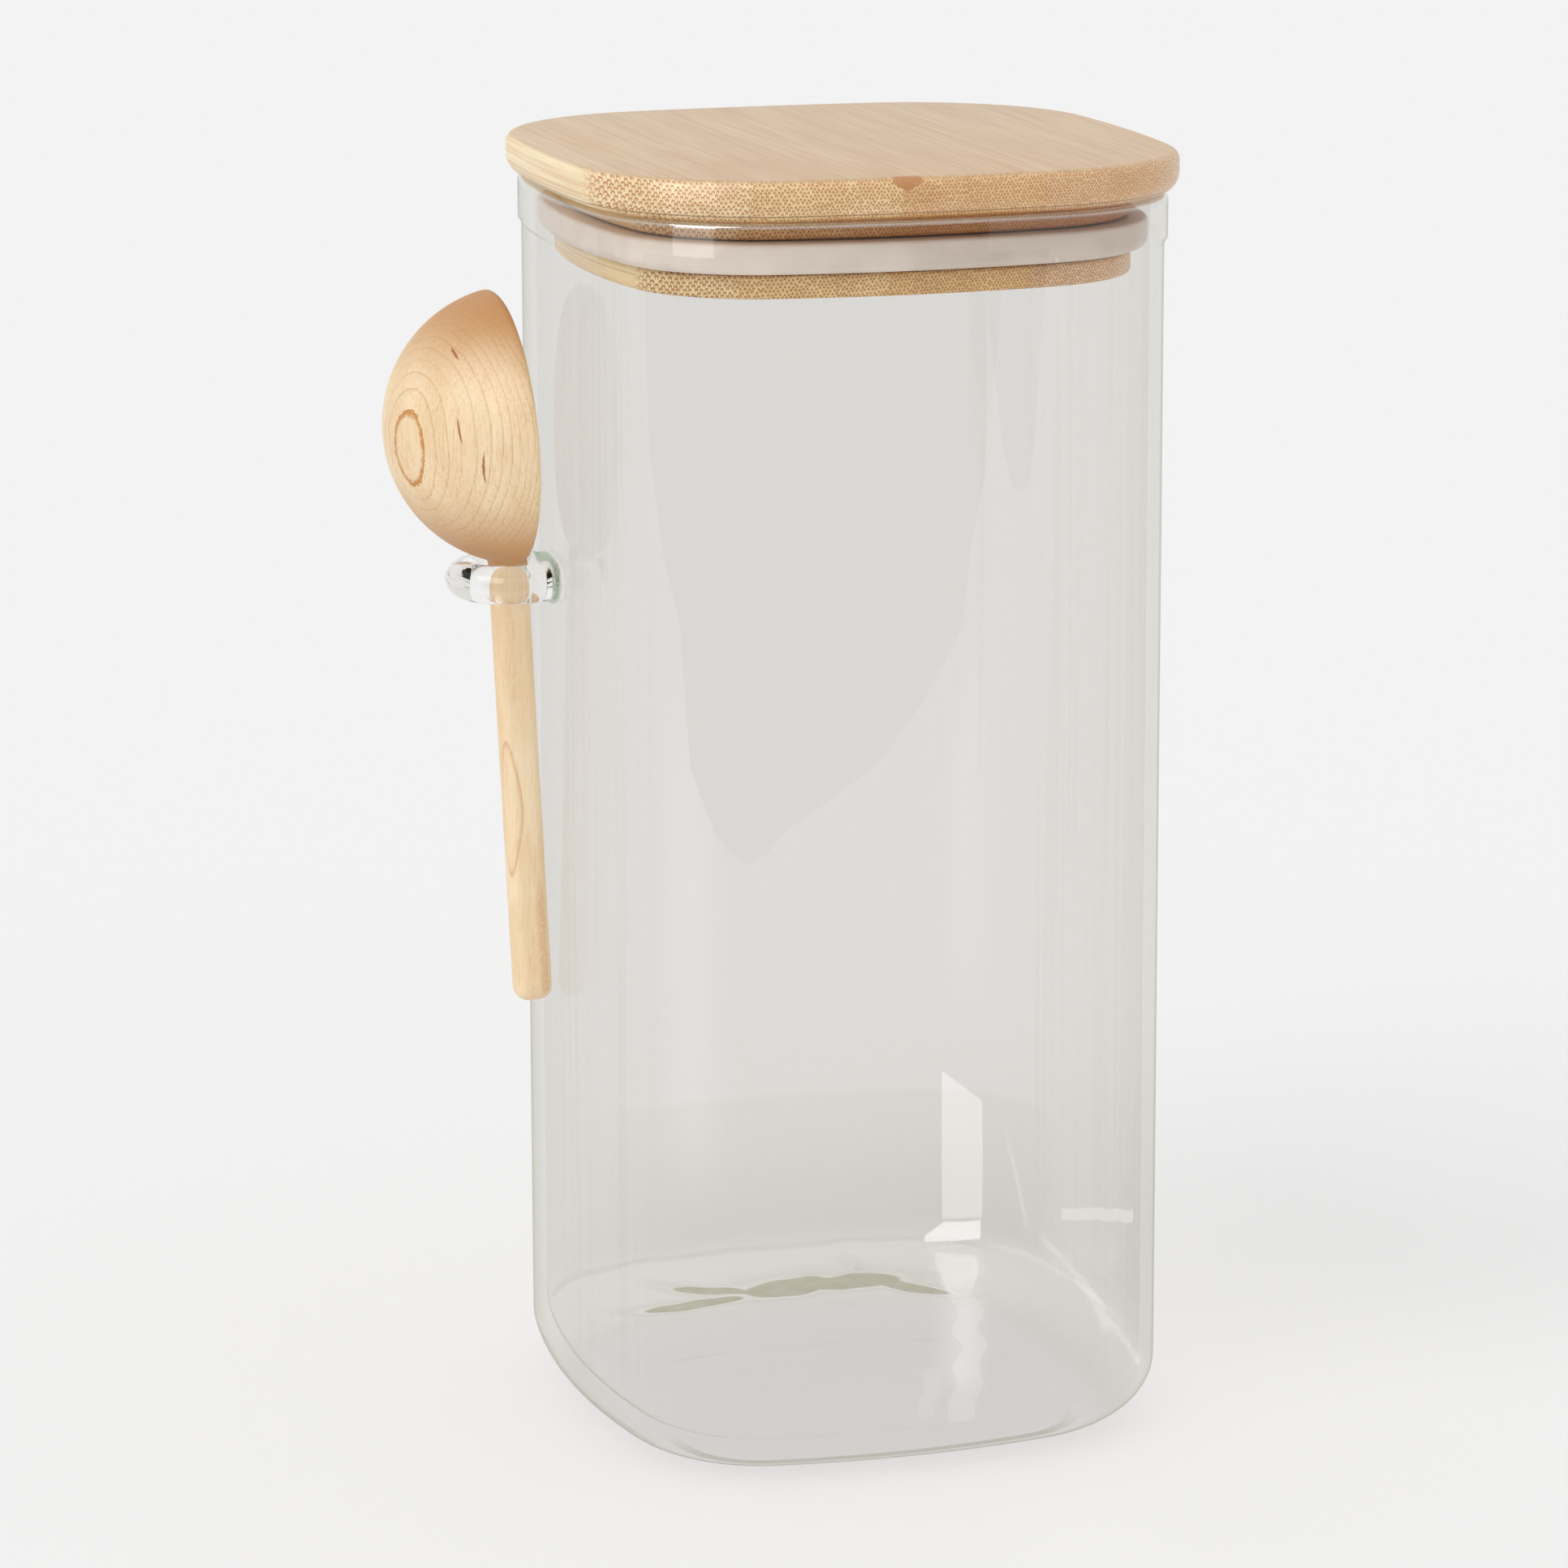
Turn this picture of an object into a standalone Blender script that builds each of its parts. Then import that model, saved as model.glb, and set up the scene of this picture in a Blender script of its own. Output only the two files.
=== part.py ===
"""Square glass storage jar with a bamboo lid, a soft seal and a wooden scoop held in a glass ring.

Metres, Z up. The origin is the middle of the jar's base, on the surface it stands on. The front
wall faces -Y, and the wall that carries the ring and the scoop faces -X.
"""
import math

import bmesh
import bpy

# Clearances
FIT_GAP = 0.0003              # between neighbours that touch on the real jar
CUT_OVERRUN = 0.004           # how far a cutter passes the faces that it opens
JOIN_DEPTH = 0.001            # how far shapes that become one solid run into each other
WELD_DISTANCE = 0.000003      # points closer than this are one point

# Glass jar
JAR_WIDTH = 0.100             # across the middles of two opposite walls
JAR_HEIGHT = 0.2093           # to the top of the lip
JAR_CORNER_RADIUS = 0.028
JAR_SIDE_RADIUS = 0.143       # each wall bows out a little, on this radius
WALL = 0.0024
FLOOR = 0.0045
BASE_ROUND_WIDTH = 0.0155     # the round from the base into the walls is wider than high
BASE_ROUND_HEIGHT = 0.0115
LIP_HEIGHT = 0.0080           # a slightly thicker band of glass round the mouth
LIP_PROUD = 0.0006
LIP_ROUND = 0.0009

# Lid of two glued bamboo boards, the lower one milled into a plug
LID_OVERHANG = 0.0017         # beyond the jar's walls
LID_CORNER_RADIUS = 0.032
LID_SIDE_RADIUS = 0.277
LID_THICKNESS = 0.0068
LID_TOP_ROUND = 0.0015
LID_UNDER_ROUND = 0.0033
GLUE_LINE_HEIGHT = 0.0010     # above the lid's underside
PLUG_DEPTH = 0.0131           # from the lid's underside to the plug's foot
PLUG_CLEARANCE = 0.0031       # between the plug and the jar's inner wall
PLUG_FOOT_HEIGHT = 0.0038
PLUG_EDGE_ROUND = 0.0007
GROOVE_DEPTH = 0.0026

# Soft seal in the plug's groove
SEAL_HEIGHT = 0.0051
SEAL_UPPER_ROUND = 0.0013
SEAL_LOWER_ROUND = 0.0018

# Wooden scoop
BOWL_RADIUS = 0.0231
BOWL_WALL = 0.0026
BOWL_OFFSET = 0.0039          # from the handle's axis to the bowl's centre, towards the jar
BOWL_CUT_BACK = 0.0030        # how far the rim's plane lies behind the bowl's centre
BOWL_RIM_ROUND = 0.0011
BOWL_RIM_LEAN = math.radians(1.0)
HANDLE_WIDTH = 0.0064
HANDLE_THICKNESS = 0.0056
HANDLE_EDGE_ROUND = 0.0022
HANDLE_REACH = 0.0722         # from the ring's centre down to the handle's tip
HANDLE_TIP_GAP = 0.0007       # the tip hangs this far off the wall, which sets the scoop's lean

# Glass ring on the -X wall, with the weld that fuses it there
RING_ROD_RADIUS = 0.0032
RING_CLEARANCE = 0.0007       # between the handle's corners and the ring's hole
RING_CENTRE_HEIGHT = 0.1459
RING_STANDOFF = 0.0032        # from the wall out to the near side of the ring's hole
WELD_THICKNESS = 0.0020
WELD_WIDTH = 0.0180
WELD_HEIGHT = 0.0090
WELD_DROP = 0.0004            # it sagged a little below the ring's middle while it was hot

# Fineness
CORNER_STEPS = 8
SIDE_STEPS = 4
ROUND_STEPS = 8
EDGE_STEPS = 3
BOWL_SEGMENTS = 40
BOWL_ARC_STEPS = 11
RING_SEGMENTS = 40
ROD_SEGMENTS = 16
SHARP_ANGLE = math.radians(35)
FLAT_ANGLE = math.radians(0.5)
QUARTER_TURN = math.radians(90)

# What follows from the sizes above
JAR_HALF = JAR_WIDTH / 2
LID_HALF = JAR_HALF + LID_OVERHANG
LID_LEVEL = JAR_HEIGHT + FIT_GAP
PLUG_INSET = WALL + PLUG_CLEARANCE
GROOVE_INSET = PLUG_INSET + GROOVE_DEPTH
GROOVE_FLOOR = PLUG_FOOT_HEIGHT - PLUG_DEPTH
SEAL_FLOOR = GROOVE_FLOOR + FIT_GAP
GROOVE_CEILING = SEAL_FLOOR + SEAL_HEIGHT + FIT_GAP
HANDLE_CORNER_REACH = HANDLE_EDGE_ROUND + math.hypot(
    HANDLE_WIDTH / 2 - HANDLE_EDGE_ROUND, HANDLE_THICKNESS / 2 - HANDLE_EDGE_ROUND
)
RING_HOLE_RADIUS = HANDLE_CORNER_REACH + RING_CLEARANCE
RING_RADIUS = RING_HOLE_RADIUS + RING_ROD_RADIUS
RING_REACH = RING_STANDOFF + RING_HOLE_RADIUS
RING_CENTRE = (-JAR_HALF - RING_REACH, 0, RING_CENTRE_HEIGHT)
SCOOP_LEAN = math.asin((RING_REACH - HANDLE_WIDTH / 2 - HANDLE_TIP_GAP) / HANDLE_REACH)
# The bowl rests on the rod at both sides of the ring, and stays a fit gap above it.
BOWL_LEVEL = math.sqrt((BOWL_RADIUS + RING_ROD_RADIUS + FIT_GAP) ** 2 - BOWL_OFFSET ** 2 - RING_RADIUS ** 2)


def arc(centre, radius, start, sweep, steps):
    """The points along an arc, without its last one."""
    angles = [start + sweep * i / steps for i in range(steps)]
    return [(centre[0] + radius * math.cos(a), centre[1] + radius * math.sin(a)) for a in angles]


def bowed_square(half, corner_radius, side_radius, inset):
    """A square plan with round corners and slightly bowed sides, its outline moved in by an inset.

    Each corner's arc is tangent to the arcs of its two sides, so an inset keeps all the centres.
    """
    side_centre = half - side_radius
    between_centres = side_radius - corner_radius
    # The corner's centre lies on the diagonal, at the right distance from the side's centre.
    corner_centre = (side_centre + math.sqrt(2 * between_centres ** 2 - side_centre ** 2)) / 2
    side_angle = math.atan2(corner_centre, corner_centre - side_centre)
    corner_sweep = QUARTER_TURN - 2 * side_angle
    side = arc((side_centre, 0), side_radius - inset, -side_angle, 2 * side_angle, SIDE_STEPS)
    corner = arc(
        (corner_centre, corner_centre), corner_radius - inset, side_angle, corner_sweep, CORNER_STEPS
    )
    outline = []
    for turn in range(4):
        cos, sin = math.cos(turn * QUARTER_TURN), math.sin(turn * QUARTER_TURN)
        outline += [(x * cos - y * sin, x * sin + y * cos) for x, y in side + corner]
    return outline


def jar_plan(inset=0):
    return bowed_square(JAR_HALF, JAR_CORNER_RADIUS, JAR_SIDE_RADIUS, inset)


def lid_plan():
    return bowed_square(LID_HALF, LID_CORNER_RADIUS, LID_SIDE_RADIUS, 0)


def move_to(obj, collection, parent=None):
    """Puts an object in one collection, and in the frame of its parent."""
    for other in list(obj.users_collection):
        other.objects.unlink(obj)
    collection.objects.link(obj)
    obj.parent = parent
    return obj


def name_object(name):
    """Names the object that was just added."""
    obj = bpy.context.object
    obj.name = obj.data.name = name
    return obj


def block(name, plan, bottom, top):
    """A solid with a given plan between two heights, from a filled and extruded flat curve."""
    curve = bpy.data.curves.new(name, 'CURVE')
    curve.dimensions = '2D'
    curve.fill_mode = 'BOTH'
    curve.extrude = (top - bottom) / 2
    spline = curve.splines.new('POLY')
    spline.points.add(len(plan) - 1)
    for point, (x, y) in zip(spline.points, plan):
        point.co = (x, y, 0, 1)
    spline.use_cyclic_u = True
    outline = bpy.data.objects.new(name, curve)
    bpy.context.scene.collection.objects.link(outline)
    outline.location.z = (top + bottom) / 2
    bpy.context.view_layer.update()
    evaluated = outline.evaluated_get(bpy.context.evaluated_depsgraph_get())
    mesh = bpy.data.meshes.new_from_object(evaluated)
    mesh.transform(outline.matrix_world)
    bpy.data.objects.remove(outline)
    shape = bmesh.new()
    shape.from_mesh(mesh)
    bmesh.ops.remove_doubles(shape, verts=shape.verts, dist=WELD_DISTANCE)
    bmesh.ops.dissolve_limit(shape, angle_limit=FLAT_ANGLE, verts=[], edges=shape.edges)
    bmesh.ops.recalc_face_normals(shape, faces=shape.faces)
    shape.to_mesh(mesh)
    shape.free()
    return bpy.data.objects.new(name, mesh)


def round_rim(obj, level, width, steps, height=None):
    """Rounds the sharp edges that lie at one height, to an oval round if a height is given."""
    shape = bmesh.new()
    shape.from_mesh(obj.data)
    levels = [v.co.z for v in shape.verts]
    inwards = 1 if min(levels) > level - WELD_DISTANCE else -1
    rim = [
        edge for edge in shape.edges
        if all(abs(v.co.z - level) < WELD_DISTANCE for v in edge.verts)
        and edge.calc_face_angle(0) > SHARP_ANGLE
    ]
    bmesh.ops.bevel(
        shape, geom=rim, offset=width, offset_type='OFFSET', segments=steps, profile=0.5,
        affect='EDGES', clamp_overlap=False,
    )
    if height is not None:
        for v in shape.verts:
            depth = (v.co.z - level) * inwards
            if depth < width + WELD_DISTANCE:
                v.co.z = level + inwards * depth * height / width
    shape.to_mesh(obj.data)
    shape.free()
    return obj


def keep_side(obj, level, upper):
    """Cuts a solid through at a height, and keeps what is above or below."""
    shape = bmesh.new()
    shape.from_mesh(obj.data)
    bmesh.ops.bisect_plane(
        shape, geom=shape.verts[:] + shape.edges[:] + shape.faces[:],
        plane_co=(0, 0, level), plane_no=(0, 0, 1), clear_outer=not upper, clear_inner=upper,
    )
    bmesh.ops.holes_fill(shape, edges=[e for e in shape.edges if e.is_boundary], sides=0)
    bmesh.ops.recalc_face_normals(shape, faces=shape.faces)
    shape.to_mesh(obj.data)
    shape.free()
    return obj


def combine(obj, other, operation, cutters, parent=None):
    """Joins another shape to a piece, or cuts it out, and files that shape with the cutters."""
    move_to(other, cutters, parent)
    other.hide_render = True
    other.display_type = 'WIRE'
    modifier = obj.modifiers.new(other.name, 'BOOLEAN')
    modifier.operation = operation
    modifier.object = other
    modifier.solver = 'EXACT'


def finish(obj, colour, roughness, alpha=1.0):
    """Gives a piece its material and smooth shading."""
    material = bpy.data.materials.new(obj.name)
    material.use_nodes = True
    shader = material.node_tree.nodes['Principled BSDF']
    shader.inputs['Base Color'].default_value = (*colour, 1)
    shader.inputs['Roughness'].default_value = roughness
    shader.inputs['Metallic'].default_value = 0
    shader.inputs['Alpha'].default_value = alpha
    obj.data.materials.clear()
    obj.data.materials.append(material)
    obj.data.shade_smooth()
    obj.data.set_sharp_from_angle(angle=SHARP_ANGLE)


def make_glass_body(parts, cutters):
    """The jar: walls with a wide round into the base, a thicker lip and a cavity."""
    # The walls end inside the lip's band, so that only the band has a face at the mouth.
    body = block('glass_body', jar_plan(), 0, JAR_HEIGHT - LIP_HEIGHT + JOIN_DEPTH)
    round_rim(body, 0, BASE_ROUND_WIDTH, ROUND_STEPS, BASE_ROUND_HEIGHT)
    lip = block('lip_band', jar_plan(-LIP_PROUD), JAR_HEIGHT - LIP_HEIGHT, JAR_HEIGHT)
    round_rim(lip, JAR_HEIGHT - LIP_HEIGHT, LIP_ROUND, EDGE_STEPS)
    round_rim(lip, JAR_HEIGHT, LIP_ROUND, EDGE_STEPS)
    # The cavity's round follows the outer one at the thickness of the wall.
    cavity = block('jar_cavity', jar_plan(WALL), FLOOR, JAR_HEIGHT + CUT_OVERRUN)
    round_rim(cavity, FLOOR, BASE_ROUND_WIDTH - WALL, ROUND_STEPS, BASE_ROUND_HEIGHT - WALL)
    move_to(body, parts)
    combine(body, lip, 'UNION', cutters)
    combine(body, cavity, 'DIFFERENCE', cutters)
    finish(body, (0.80, 0.82, 0.79), 0.03, alpha=0.35)


def make_scoop_ring(parts, cutters):
    """The glass ring that the scoop hangs in, with the flat oval weld that joins it to the wall."""
    bpy.ops.mesh.primitive_torus_add(
        major_radius=RING_RADIUS, minor_radius=RING_ROD_RADIUS,
        major_segments=RING_SEGMENTS, minor_segments=ROD_SEGMENTS, location=RING_CENTRE,
    )
    ring = name_object('scoop_ring')
    bpy.ops.mesh.primitive_uv_sphere_add(
        segments=RING_SEGMENTS, ring_count=ROD_SEGMENTS, radius=1,
        location=(-JAR_HALF, 0, RING_CENTRE_HEIGHT - WELD_DROP), rotation=(0, QUARTER_TURN, 0),
        scale=(WELD_HEIGHT / 2, WELD_WIDTH / 2, WELD_THICKNESS),
    )
    weld = name_object('ring_weld')
    # The ring and its weld end a fit gap before the jar's wall.
    wall = block('ring_wall_cut', jar_plan(-FIT_GAP), 0, JAR_HEIGHT)
    move_to(ring, parts)
    combine(ring, weld, 'UNION', cutters)
    combine(ring, wall, 'DIFFERENCE', cutters)
    finish(ring, (0.80, 0.82, 0.79), 0.03, alpha=0.35)


def lid_blank(name):
    """The whole lid before it is split at the glue line, with its underside at height 0."""
    blank = block(name, lid_plan(), 0, LID_THICKNESS)
    round_rim(blank, LID_THICKNESS, LID_TOP_ROUND, EDGE_STEPS)
    return round_rim(blank, 0, LID_UNDER_ROUND, ROUND_STEPS)


def make_lid(parts, cutters, lid_axis):
    """The upper board, and the lower board with the grooved plug under it."""
    wood = (0.66, 0.47, 0.29)
    upper = keep_side(lid_blank('lid_top_board'), GLUE_LINE_HEIGHT + FIT_GAP / 2, True)
    move_to(upper, parts, lid_axis)
    finish(upper, wood, 0.5)
    lower = keep_side(lid_blank('lid_plug_board'), GLUE_LINE_HEIGHT - FIT_GAP / 2, False)
    move_to(lower, parts, lid_axis)
    join_top = GLUE_LINE_HEIGHT / 2
    neck = block('plug_neck', jar_plan(PLUG_INSET), GROOVE_CEILING, join_top)
    core = block('plug_core', jar_plan(GROOVE_INSET), GROOVE_FLOOR - JOIN_DEPTH, GROOVE_CEILING + JOIN_DEPTH)
    foot = block('plug_foot', jar_plan(PLUG_INSET), -PLUG_DEPTH, GROOVE_FLOOR)
    round_rim(foot, -PLUG_DEPTH, PLUG_EDGE_ROUND, EDGE_STEPS)
    round_rim(foot, GROOVE_FLOOR, PLUG_EDGE_ROUND, EDGE_STEPS)
    for shape in (neck, core, foot):
        combine(lower, shape, 'UNION', cutters, lid_axis)
    finish(lower, wood, 0.5)


def make_seal(parts, cutters, lid_axis):
    """The soft ring that sits in the plug's groove and reaches to the glass."""
    seal_top = SEAL_FLOOR + SEAL_HEIGHT
    seal = block('seal_ring', jar_plan(WALL + FIT_GAP), SEAL_FLOOR, seal_top)
    round_rim(seal, SEAL_FLOOR, SEAL_LOWER_ROUND, EDGE_STEPS)
    round_rim(seal, seal_top, SEAL_UPPER_ROUND, EDGE_STEPS)
    move_to(seal, parts, lid_axis)
    hole = block(
        'seal_hole', jar_plan(GROOVE_INSET - FIT_GAP), SEAL_FLOOR - CUT_OVERRUN, seal_top + CUT_OVERRUN
    )
    combine(seal, hole, 'DIFFERENCE', cutters, lid_axis)
    finish(seal, (0.62, 0.55, 0.48), 0.35)


def bowl_profile():
    """Half the bowl's section: up the inside, over the rounded rim, and down the outside."""
    inner_radius = BOWL_RADIUS - BOWL_WALL
    # Each rim round touches the rim's plane and its own side of the wall.
    round_level = -BOWL_CUT_BACK - BOWL_RIM_ROUND
    inner_reach = inner_radius + BOWL_RIM_ROUND
    outer_reach = BOWL_RADIUS - BOWL_RIM_ROUND
    inner_centre = (math.sqrt(inner_reach ** 2 - round_level ** 2), round_level)
    outer_centre = (math.sqrt(outer_reach ** 2 - round_level ** 2), round_level)
    inner_angle = math.asin(round_level / inner_reach)
    outer_angle = math.asin(round_level / outer_reach)
    inside = arc((0, 0), inner_radius, -QUARTER_TURN, QUARTER_TURN + inner_angle, BOWL_ARC_STEPS)
    inner_round = arc(
        inner_centre, BOWL_RIM_ROUND, 2 * QUARTER_TURN + inner_angle, -QUARTER_TURN - inner_angle, EDGE_STEPS
    )
    rim = [(inner_centre[0], -BOWL_CUT_BACK)]
    outer_round = arc(outer_centre, BOWL_RIM_ROUND, QUARTER_TURN, outer_angle - QUARTER_TURN, EDGE_STEPS)
    outside = arc((0, 0), BOWL_RADIUS, outer_angle, -QUARTER_TURN - outer_angle, BOWL_ARC_STEPS)
    # Both ends lie on the axis, so that the turned shape closes there.
    return [(0, -inner_radius), *inside[1:], *inner_round, *rim, *outer_round, *outside, (0, -BOWL_RADIUS)]


def make_scoop(parts, cutters, scoop_axis):
    """The scoop, carved from one piece: a hollowed ball, cut open, on a straight handle.

    In the scoop's own frame the handle runs along Z through the ring's centre and the bowl opens
    to +X.
    """
    points = [(x, 0, z) for x, z in bowl_profile()]
    mesh = bpy.data.meshes.new('scoop')
    mesh.from_pydata(points, [(i, i + 1) for i in range(len(points) - 1)], [])
    scoop = bpy.data.objects.new('scoop', mesh)
    turn = scoop.modifiers.new('turn', 'SCREW')
    turn.steps = turn.render_steps = BOWL_SEGMENTS
    turn.use_merge_vertices = True
    turn.merge_threshold = WELD_DISTANCE
    scoop.location = (BOWL_OFFSET, 0, BOWL_LEVEL)
    scoop.rotation_euler = (0, QUARTER_TURN - BOWL_RIM_LEAN, 0)
    move_to(scoop, parts, scoop_axis)
    # The handle ends inside the bowl's wall.
    handle_top = BOWL_LEVEL - BOWL_RADIUS + BOWL_WALL
    bpy.ops.mesh.primitive_cube_add(
        size=1, location=(0, 0, (handle_top - HANDLE_REACH) / 2),
        scale=(HANDLE_WIDTH, HANDLE_THICKNESS, handle_top + HANDLE_REACH),
    )
    handle = name_object('scoop_handle')
    bpy.ops.object.transform_apply(location=False, rotation=False, scale=True)
    soften = handle.modifiers.new('soften', 'BEVEL')
    soften.width = HANDLE_EDGE_ROUND
    soften.segments = EDGE_STEPS + 1
    combine(scoop, handle, 'UNION', cutters, scoop_axis)
    finish(scoop, (0.78, 0.53, 0.27), 0.5)


def make_axis(name, location, lean=0):
    """An empty on a joint's axis, which carries the pieces that move along it."""
    axis = bpy.data.objects.new(name, None)
    axis.location = location
    axis.rotation_euler = (0, -lean, 0)
    axis.empty_display_size = JAR_HALF
    bpy.context.scene.collection.objects.link(axis)
    return axis


def new_collection(name):
    collection = bpy.data.collections.new(name)
    bpy.context.scene.collection.children.link(collection)
    return collection


def main():
    for old in list(bpy.data.objects):
        bpy.data.objects.remove(old)
    parts = new_collection('glass_storage_jar')
    cutters = new_collection('cutters')
    lid_axis = make_axis('lid_axis', (0, 0, LID_LEVEL))
    scoop_axis = make_axis('scoop_axis', RING_CENTRE, SCOOP_LEAN)
    make_glass_body(parts, cutters)
    make_scoop_ring(parts, cutters)
    make_lid(parts, cutters, lid_axis)
    make_seal(parts, cutters, lid_axis)
    make_scoop(parts, cutters, scoop_axis)


main()
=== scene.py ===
# Square glass storage jar with a bamboo lid, a soft seal and a wooden scoop in a glass ring.
# Metres, Z up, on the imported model's own frame: the ring's wall faces -X and the front wall -Y.
import math

import bmesh
import bpy
from mathutils import Matrix, Vector


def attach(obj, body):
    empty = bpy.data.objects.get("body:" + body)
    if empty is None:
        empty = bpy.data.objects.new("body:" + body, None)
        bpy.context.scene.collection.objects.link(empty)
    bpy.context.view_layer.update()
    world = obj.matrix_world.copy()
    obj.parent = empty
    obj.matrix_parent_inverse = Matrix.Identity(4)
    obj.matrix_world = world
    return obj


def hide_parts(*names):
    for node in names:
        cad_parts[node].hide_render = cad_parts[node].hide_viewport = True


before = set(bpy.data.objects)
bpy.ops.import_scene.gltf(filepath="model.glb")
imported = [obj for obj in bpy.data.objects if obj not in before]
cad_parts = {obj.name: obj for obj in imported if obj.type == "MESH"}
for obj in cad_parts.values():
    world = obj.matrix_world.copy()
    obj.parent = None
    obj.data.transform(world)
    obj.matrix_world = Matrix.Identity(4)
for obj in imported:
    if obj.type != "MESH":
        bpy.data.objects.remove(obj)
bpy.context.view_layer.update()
print("packed model loaded:", len(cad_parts), "nodes")

quarterTurn = math.radians(90)
sharpAngle = math.radians(35)    # edges that turn more than this are the ones to round
smoothAngle = math.radians(30)   # faces that meet at less than this are shaded as one
near = 0.00002                   # what lies this close to a level counts as on it
mergeDistance = 0.000005


def startClean():
    if bpy.context.mode != 'OBJECT':
        bpy.ops.object.mode_set(mode='OBJECT')
    bpy.ops.object.select_all(action='DESELECT')


def selectOnly(piece):
    startClean()
    piece.select_set(True)
    bpy.context.view_layer.objects.active = piece


def joinTo(piece):
    # what is selected becomes part of the piece
    piece.select_set(True)
    bpy.context.view_layer.objects.active = piece
    bpy.ops.object.join()


def nameAdded(name):
    # the primitive that was just added, with its place put into its mesh
    bpy.ops.object.transform_apply(location=True, rotation=True, scale=True)
    piece = bpy.context.object
    piece.name = piece.data.name = name
    return piece


def edit():
    bpy.ops.object.mode_set(mode='EDIT')


def leave():
    bpy.ops.object.mode_set(mode='OBJECT')


def pick(kind, test):
    # selects the points, edges or faces that pass a test of their place or normal
    bpy.ops.mesh.select_mode(type=kind)
    bpy.ops.mesh.select_all(action='DESELECT')
    shape = bmesh.from_edit_mesh(bpy.context.object.data)
    for part in {'VERT': shape.verts, 'EDGE': shape.edges, 'FACE': shape.faces}[kind]:
        if test(part):
            part.select_set(True)
    shape.select_flush_mode()
    bmesh.update_edit_mesh(bpy.context.object.data)


def facing(level, up):
    # faces that lie flat at a height
    return lambda f: abs(f.calc_center_median().z - level) < near and f.normal.z * up > 0.99


def sharpAt(level):
    # sharp edges that lie at a height
    return lambda e: (all(abs(v.co.z - level) < near for v in e.verts)
                      and e.calc_face_angle(0) > sharpAngle)


def bevelPicked(width, steps):
    bpy.ops.mesh.bevel(offset=width, offset_type='OFFSET', segments=steps, profile=0.5,
                       affect='EDGES', clamp_overlap=False)


def extrude(offset):
    bpy.ops.mesh.extrude_region_move(TRANSFORM_OT_translate={"value": offset})


def allOutwards():
    bpy.ops.mesh.select_all(action='SELECT')
    bpy.ops.mesh.normals_make_consistent(inside=False)


def bisectAt(level, clearBelow=False, clearAbove=False):
    bpy.ops.mesh.select_all(action='SELECT')
    bpy.ops.mesh.bisect(plane_co=(0, 0, level), plane_no=(0, 0, 1), use_fill=clearBelow or clearAbove,
                        clear_inner=clearBelow, clear_outer=clearAbove)


def bowedBlock(name, plan, inset, bottom, top):
    # a point is swung round the centre of every arc of the outline in turn, then filled and raised
    half, cornerRadius, sideRadius = plan["half"], plan["cornerRadius"], plan["sideRadius"]
    sideCentre = half - sideRadius
    between = sideRadius - cornerRadius
    cornerCentre = (sideCentre + math.sqrt(2 * between ** 2 - sideCentre ** 2)) / 2
    sideAngle = math.atan2(cornerCentre, cornerCentre - sideCentre)
    cornerSweep = quarterTurn - 2 * sideAngle
    startClean()
    reach = sideRadius - inset
    bpy.ops.mesh.primitive_plane_add(size=0.01, location=(
        sideCentre + reach * math.cos(sideAngle), -reach * math.sin(sideAngle), bottom))
    piece = nameAdded(name)
    edit()
    bpy.ops.mesh.select_mode(type='VERT')
    bpy.ops.mesh.select_all(action='SELECT')
    bpy.ops.mesh.merge(type='CENTER')
    for turn in range(4):
        spot = Matrix.Rotation(turn * quarterTurn, 3, 'Z')
        for centre, sweep, steps in (
                ((sideCentre, 0, bottom), 2 * sideAngle, plan["sideSteps"]),
                ((cornerCentre, cornerCentre, bottom), cornerSweep, plan["cornerSteps"])):
            bpy.ops.mesh.spin(steps=steps, angle=-sweep, center=spot @ Vector(centre), axis=(0, 0, 1))
    bpy.ops.mesh.select_all(action='SELECT')
    bpy.ops.mesh.remove_doubles(threshold=mergeDistance)
    bpy.ops.mesh.select_all(action='SELECT')
    bpy.ops.mesh.edge_face_add()
    extrude((0, 0, top - bottom))
    allOutwards()
    return piece


def applyModifier(piece, kind, **settings):
    selectOnly(piece)
    bpy.ops.object.modifier_add(type=kind)
    modifier = piece.modifiers[-1]
    for key, value in settings.items():
        setattr(modifier, key, value)
    bpy.ops.object.modifier_apply(modifier=modifier.name)


def unite(piece, other):
    applyModifier(piece, 'BOOLEAN', operation='UNION', solver='EXACT', object=other)
    bpy.data.objects.remove(other)


def finishPiece(piece, finish, body, slotName, *nodes):
    # smooth shading, its material, and what it rides on and stands for
    selectOnly(piece)
    bpy.ops.object.shade_smooth_by_angle(angle=smoothAngle)
    piece.data.materials.clear()
    piece.data.materials.append(finish)
    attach(piece, body)
    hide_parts(*nodes)


def paintFaces(piece, finish, test):
    # gives the faces that pass a test a second material
    piece.data.materials.append(finish)
    selectOnly(piece)
    edit()
    pick('FACE', test)
    piece.active_material_index = len(piece.data.materials) - 1
    bpy.ops.object.material_slot_assign()
    leave()


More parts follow.
